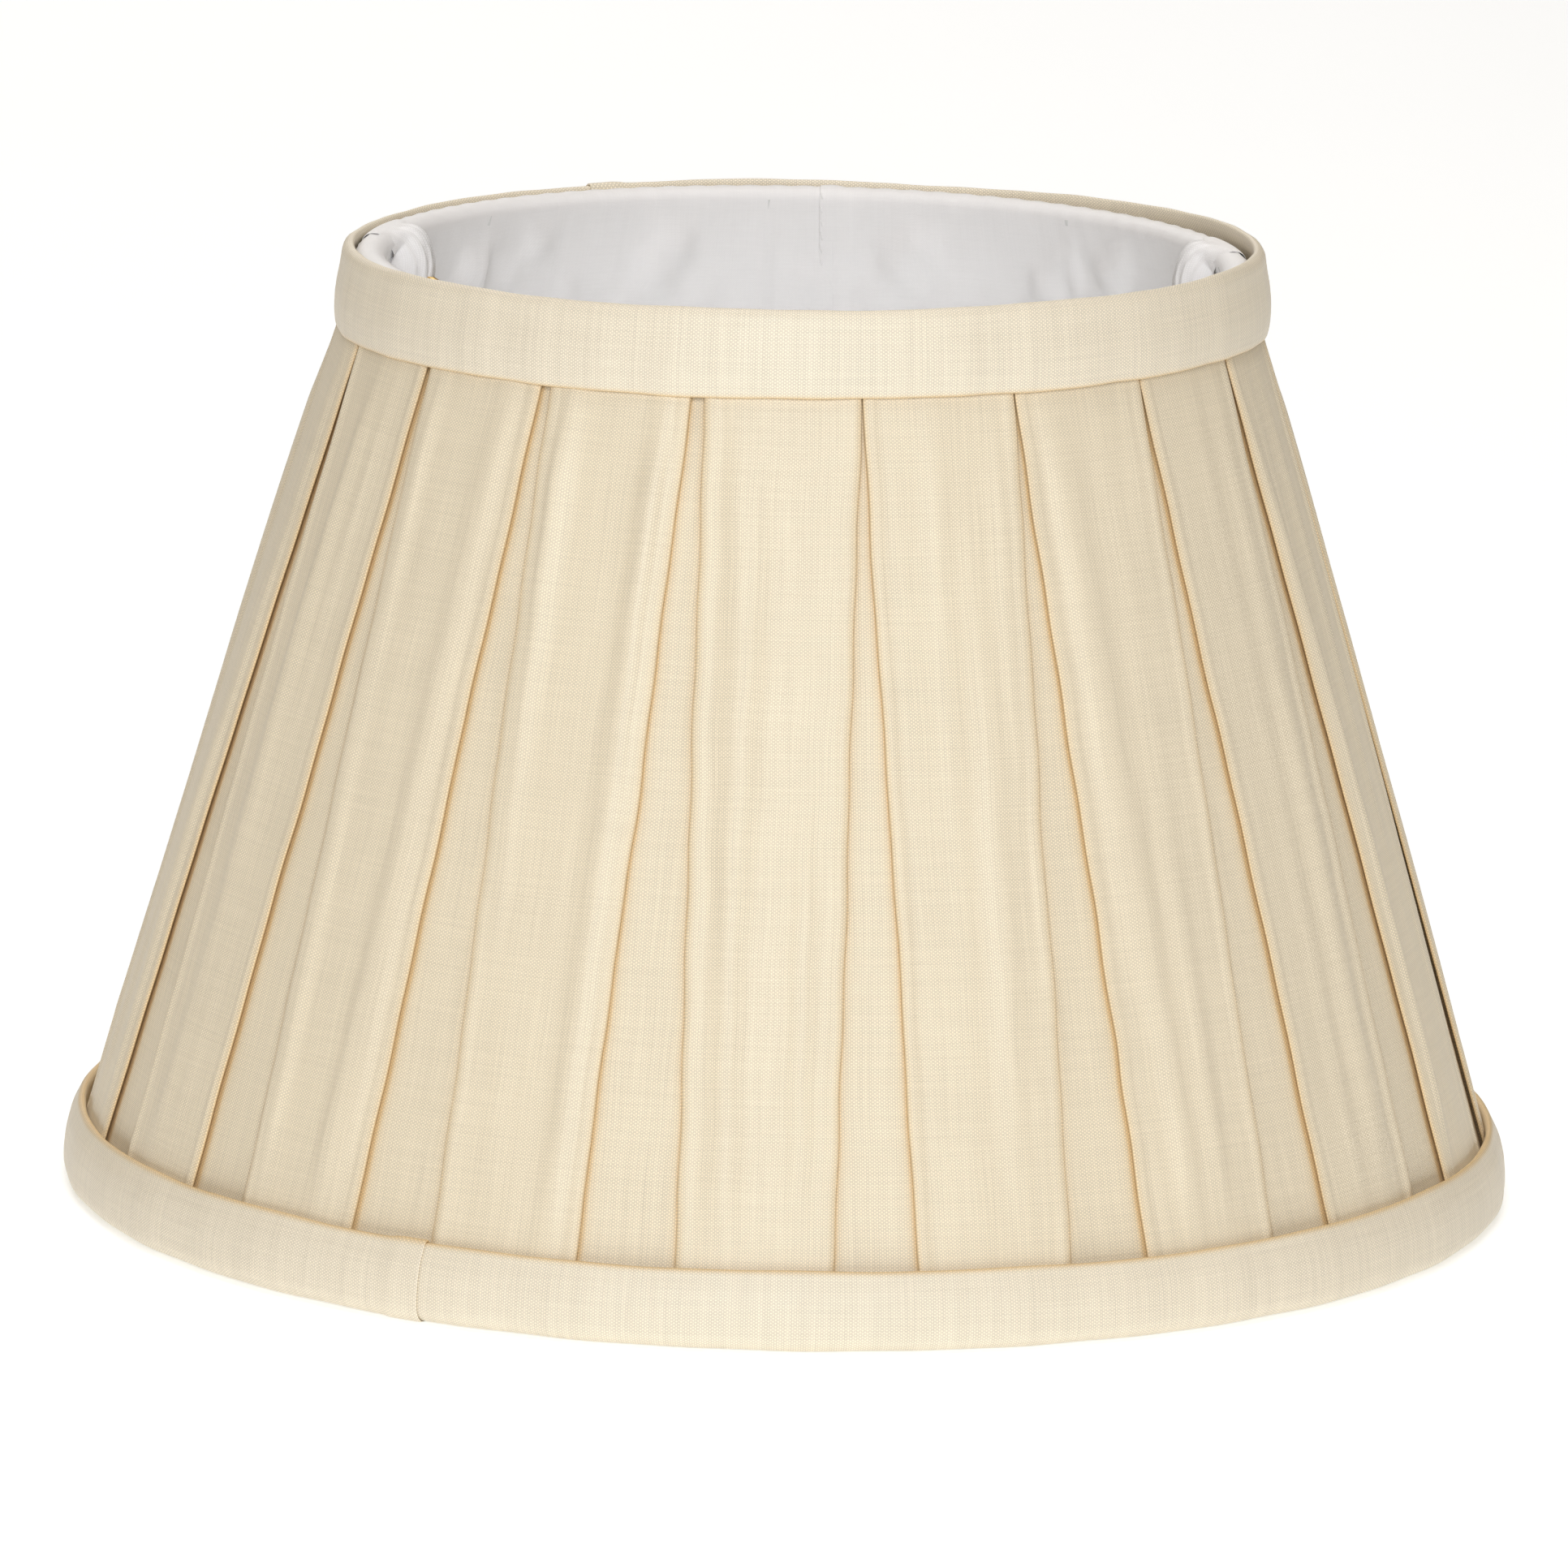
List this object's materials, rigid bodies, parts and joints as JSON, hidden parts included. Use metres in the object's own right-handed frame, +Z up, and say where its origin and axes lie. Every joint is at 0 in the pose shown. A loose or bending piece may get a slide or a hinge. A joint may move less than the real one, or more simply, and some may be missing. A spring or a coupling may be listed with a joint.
{
  "type": "lamp shade",
  "caption": "Tapered round lamp shade with a box-pleated fabric cover, folded trim bands at both rims, a white balloon lining and a recessed washer fitter.",
  "frame": {"origin": "centre of the bottom rim, in the plane that the shade stands on", "axes": "+Z up along the shade's axis, from the wide bottom rim to the narrow top rim; -Y is the front, where one fitter arm points"},
  "size_m": [0.3048, 0.3048, 0.2004],
  "materials": {
    "cover_fabric": "silky plain weave, champagne, soft sheen",
    "band_fabric": "silky plain weave, champagne, folded and sewn",
    "lining_fabric": "white satin, soft sheen",
    "binding_tape": "matt cotton tape",
    "frame_wire": "white enamel over steel wire",
    "fitter_metal": "bright brass plate"
  },
  "bodies": {
    "root": {"pleated_cover": "cover_fabric", "top_band": "band_fabric", "bottom_band": "band_fabric", "lining_panel_left": "lining_fabric", "lining_panel_right": "lining_fabric", "neatener_front": "lining_fabric", "neatener_left": "lining_fabric", "neatener_right": "lining_fabric", "top_ring_tape": "binding_tape", "bottom_ring_tape": "binding_tape", "top_ring": "frame_wire", "bottom_ring": "frame_wire", "strut_1": "frame_wire", "strut_2": "frame_wire", "strut_3": "frame_wire", "strut_4": "frame_wire", "strut_5": "frame_wire", "strut_6": "frame_wire", "strut_7": "frame_wire", "strut_8": "frame_wire", "fitter_washer": "fitter_metal", "fitter_arm_front": "fitter_metal", "fitter_arm_left": "fitter_metal", "fitter_arm_right": "fitter_metal"}
  },
  "joints": []
}
